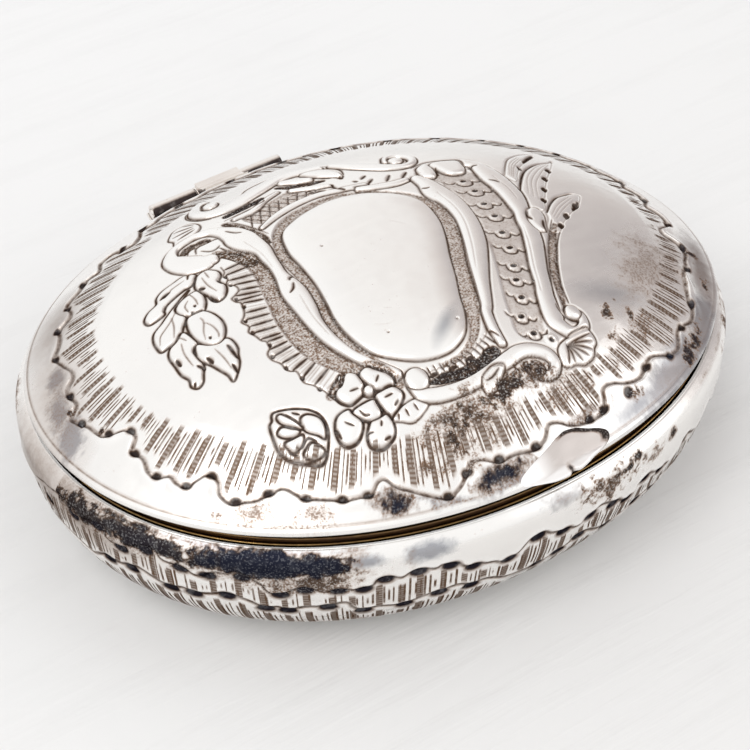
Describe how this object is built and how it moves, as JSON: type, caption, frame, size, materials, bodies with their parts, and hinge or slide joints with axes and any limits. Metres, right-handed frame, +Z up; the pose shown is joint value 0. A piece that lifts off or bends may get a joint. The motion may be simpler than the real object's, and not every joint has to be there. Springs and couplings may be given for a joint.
{
  "type": "oval silver box",
  "caption": "Oval bombe box in sheet silver with a domed, chased lid on a small knuckle hinge, a gilt bezel inside the mouth and a front thumbpiece.",
  "frame": {"origin": "middle of the flat foot that the box stands on", "axes": "+X along the length, +Y towards the hinge, +Z up; the thumbpiece is at -Y"},
  "size_m": [0.0864, 0.073, 0.0307],
  "materials": {
    "silver": "polished sheet silver, worn bright on the high places and tarnished brown and blue-black in the chasing",
    "gilt": "worn gilding over silver, dark with age",
    "hinge_silver": "drawn silver tube, dull and slightly pink with solder",
    "steel_pin": "plain wire, dull"
  },
  "bodies": {
    "box": {"base_bowl": "silver", "bezel": "gilt", "base_hinge_bearer": "hinge_silver", "base_knuckle_left": "hinge_silver", "base_knuckle_right": "hinge_silver", "hinge_pin": "steel_pin"},
    "lid": {"lid_shell": "silver", "lid_hinge_bearer": "hinge_silver", "lid_knuckle": "hinge_silver", "thumbpiece": "silver"}
  },
  "joints": [
    {"name": "lid_hinge", "type": "hinge", "parent": "box", "child": "lid", "pos_m": [0.0013, 0.0357, 0.0174], "axis": [-1, 0, 0], "range_deg": [0, 105]}
  ]
}
